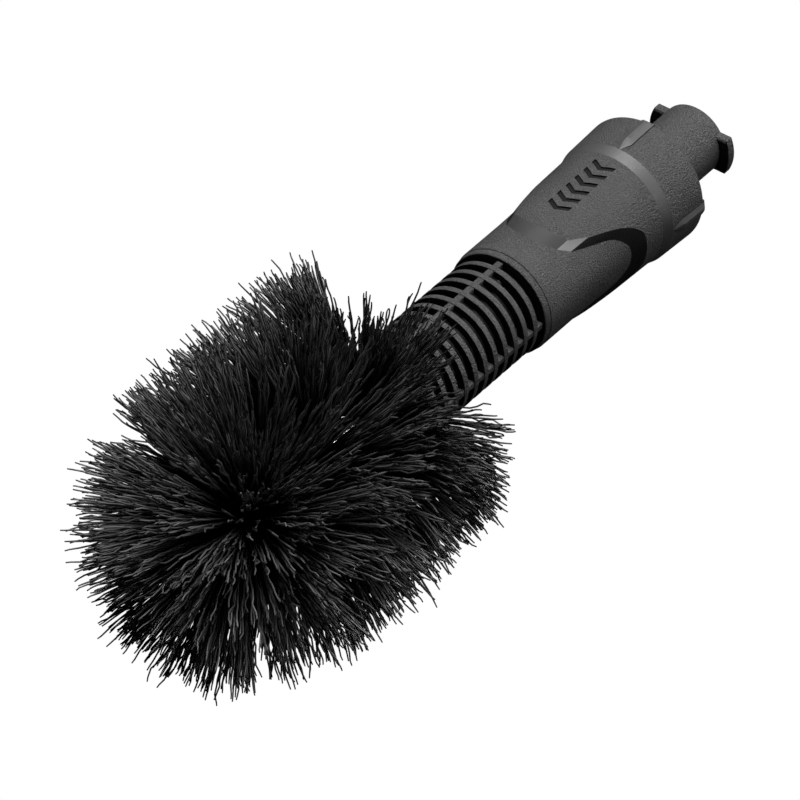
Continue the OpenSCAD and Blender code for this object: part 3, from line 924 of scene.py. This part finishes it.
def dome_tree():
    """Bristles that fan forward from the wire's eye in all directions."""
    tree, given = new_tree("bristle_dome", COMMON_SIZES + [
        ("Widest", "NodeSocketFloat", math.radians(78))])
    seed = given["Seed"]
    clump_pull, lean, bulge = 0.30, (0.0, 0.13, 0.02), 0.005
    low = calc(tree, "COSINE", given["Widest"])
    share = random_value(tree, seed, 1)
    cosine = calc(tree, "SUBTRACT", 1.0, calc(tree, "MULTIPLY", share, calc(tree, "SUBTRACT", 1.0, low)))
    sine = calc(tree, "SQRT", calc(tree, "SUBTRACT", 1.0, calc(tree, "MULTIPLY", cosine, cosine)))
    angle = random_value(tree, seed, 2, 0.0, math.tau)
    direction = around_axis(tree, calc(tree, "MULTIPLY", cosine, -1.0), angle, sine)
    clump = clump_at(tree, vector_calc(tree, "SCALE", direction, CLUMP_R))
    direction = vector_calc(tree, "ADD", direction, vector_calc(tree, "SCALE", clump, clump_pull))
    direction = vector_calc(tree, "ADD", direction, lean)
    length = calc(tree, "ADD", given["Reach"], random_value(tree, seed, 7, -0.005, 0.0005))
    length = calc(tree, "ADD", length, calc(tree, "MULTIPLY", calc(tree, "MULTIPLY", sine, cosine), bulge))
    depth = calc(tree, "MULTIPLY", share, random_value(tree, seed, 3, 0.001, 0.006))
    root_x = calc(tree, "ADD", TIP_X, depth)
    root = vector_of(tree, root_x, random_value(tree, seed, 8, -ROOT_R, ROOT_R),
                     random_value(tree, seed, 9, -ROOT_R, ROOT_R))
    direction = combed(tree, root, direction)
    grow_filaments(tree, given, root, vector_calc(tree, "SCALE", direction, length), clump)
    return tree


# Rows of bristles: (piece, CAD node, stretches); a stretch is
# (start x, first turn, last turn, count, reach, tilt spread in degrees, lean in degrees)
BRISTLE_ROWS = (
    ("rear_bristle_tuft", "rear_bristles", ((HELIX_X, -0.28, 0.02, 270, 0.0490, 8, 1),
                                            (HELIX_X, 0.02, 0.07, 110, 0.0488, 4, -4),
                                            (HELIX_X, 0.07, 0.10, 90, 0.0475, 6, -4),
                                            (HELIX_X, 0.10, 0.13, 50, 0.0445, 5, -4),
                                            (HELIX_X, 0.13, 0.19, 90, 0.0350, 8, 2),
                                            (HELIX_X, 0.19, 0.25, 170, 0.0435, 6, 12),
                                            (HELIX_X + 0.0128, 0.37, 0.48, 260, 0.0445, 6, -1))),
    ("first_bristle_turn", "bristles_turn_1", ((HELIX_X, 0.23, 0.36, 200, 0.0445, 8, -3),
                                               (HELIX_X, 0.36, 0.50, 190, 0.0455, 8, -2),
                                               (HELIX_X, 0.50, 0.66, 190, 0.0500, 12, 2),
                                               (HELIX_X, 0.66, 0.94, 320, 0.0488, 12, 3))),
    ("second_bristle_turn", "bristles_turn_2", ((HELIX_X, 0.94, 1.10, 185, 0.0497, 12, 5),
                                                (HELIX_X, 1.10, 1.68, 660, 0.0490, 12, 5))),
    ("third_bristle_turn", "bristles_turn_3", ((HELIX_X, 1.68, 1.86, 210, 0.0490, 13, 5),
                                               (HELIX_X, 1.86, 2.04, 200, 0.0476, 12, 11),
                                               (HELIX_X, 2.04, 2.42, 440, 0.0490, 13, 5))),
)
DOME_SIZES = (("Count", 1350), ("Seed", 900), ("Reach", 0.0468), ("Widest", math.radians(79)),
              ("Curl", 1.2), ("Painted shade part", 0.36))
FILAMENT_POINTS = 13


def make_bristles(material):
    helix, dome = helix_tree(), dome_tree()
    common = (("Points", FILAMENT_POINTS), ("Filament radius", FILAMENT_R), ("Material", material))
    for row, (name, node, stretches) in enumerate(BRISTLE_ROWS):
        bm = bmesh.new()
        for part, (start_x, start, end, count, reach, tilt, lean) in enumerate(stretches):
            grown = baked(name, bpy.data.meshes.new(name), helix, common + (
                ("Count", count), ("Seed", 100 * (row + 1) + 50 * part), ("Reach", reach),
                ("Turn start", start), ("Turn end", end), ("Start x", start_x),
                ("Tilt spread", math.radians(tilt)), ("Lean", math.radians(lean))))
            bm.from_mesh(grown)
        mesh = bpy.data.meshes.new(name)
        bm.to_mesh(mesh)
        bm.free()
        finished_piece(name, mesh, [material], [node], 0)
    fan = baked("tip_bristle_fan", bpy.data.meshes.new("tip_bristle_fan"), dome, common + DOME_SIZES)
    finished_piece("tip_bristle_fan", fan, [], ["tip_bristles"], 0)


# ---------------------------------------------------------------- wire

def make_wire(metal):
    """Core wire folded over at the tip, with its two legs twisted together."""
    wire_r, helix_r, twist = 1.1 * MM, 1.16 * MM, 9.0 * MM
    start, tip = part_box("core_wire")[1][0], WIRE_TIP_X + wire_r + helix_r
    steps, bend_steps = 240, 8

    def point(x, angle, radius):
        return Vector((x, radius * math.cos(angle), radius * math.sin(angle)))

    path = [point(start + (tip - start) * k / steps, math.tau * (tip - start) * k / steps / twist, helix_r)
            for k in range(steps + 1)]
    last = math.tau * (tip - start) / twist
    fold = [point(tip - helix_r * math.sin(b), last, helix_r * math.cos(b))
            for b in (math.pi * k / bend_steps for k in range(1, bend_steps))]
    back = [Vector((p.x, -p.y, -p.z)) for p in reversed(path)]
    curve = bpy.data.curves.new("core_wire_pair", "CURVE")
    curve.dimensions, curve.bevel_depth, curve.bevel_resolution = "3D", wire_r, 3
    curve.use_fill_caps = True
    points = path + fold + back
    spline = curve.splines.new("POLY")
    spline.points.add(len(points) - 1)
    for item, place in zip(spline.points, points):
        item.co = (*place, 1)
    holder = bpy.data.objects.new("wire_curve", curve)
    bpy.context.scene.collection.objects.link(holder)
    depsgraph = bpy.context.evaluated_depsgraph_get()
    mesh = bpy.data.meshes.new_from_object(holder.evaluated_get(depsgraph))
    bpy.data.objects.remove(holder)
    mesh.name = "core_wire_pair"
    mesh.materials.clear()
    finished_piece("core_wire_pair", mesh, [metal], ["core_wire"])


# ---------------------------------------------------------------- the brush

def paint_nodes(finishes):
    """Gives each CAD node that stays visible its material."""
    for material, names in finishes:
        for name in names:
            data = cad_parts[name].data
            data.materials.clear()
            data.materials.append(material)


make_camera()
make_lights()
make_stage()
grained_plastic = moulded_plastic("grained_black_plastic", 1.0)
smooth_plastic = moulded_plastic("smooth_black_plastic", 0.15, grey=0.046, rough=(0.48, 0.54))
# A painted highlight: a grey 0.14 copy of the plastic for the grip's right corner facet
highlight_painted_plastic = moulded_plastic("highlight_painted_black_plastic", 0.10, grey=0.14, rough=(0.36, 0.42))
# Satin with less gloss, painted a little darker than the grip
satin_painted_darker_plastic = moulded_plastic("satin_painted_darker_black_plastic", 0.15, grey=0.034, rough=(0.55, 0.62), gloss=0.2)
# Painted shade: a near-black copy of the plastic for faces turned from the lights
shade_painted_plastic = moulded_plastic("shade_painted_black_plastic", 0.3, grey=0.006, gloss=0.12)
# Painted shade: a near-black copy of the plastic for the inner parts seen in the neck's gaps
inner_shade_painted_plastic = moulded_plastic("inner_shade_painted_black_plastic", 0.15, grey=0.006)
filament = bristle_filament("black_filament")
wire_steel = drawn_metal("drawn_steel", (0.60, 0.60, 0.62), 0.32)
ferrule_brass = drawn_metal("turned_brass", (0.78, 0.60, 0.30), 0.30)
seal_rubber = soft_rubber("seal_rubber")
paint_nodes([
    (inner_shade_painted_plastic, ["inlet_bush", "water_tube", "distributor", "neck_core"]),
    (wire_steel, ["stub_clip_ring", "cage_snap_ring", "flow_plate", "core_screws", "cross_pin"]),
    (ferrule_brass, ["core_ferrule"]),
    (seal_rubber, ["inlet_o_ring", "rear_tube_seal", "front_tube_seal"]),
])
make_grip_sleeve([grained_plastic, smooth_plastic, shade_painted_plastic, highlight_painted_plastic, satin_painted_darker_plastic])
make_bayonet_stub(grained_plastic, shade_painted_plastic)
make_neck_cage(grained_plastic, shade_painted_plastic)
make_wire(wire_steel)
make_bristles(filament)
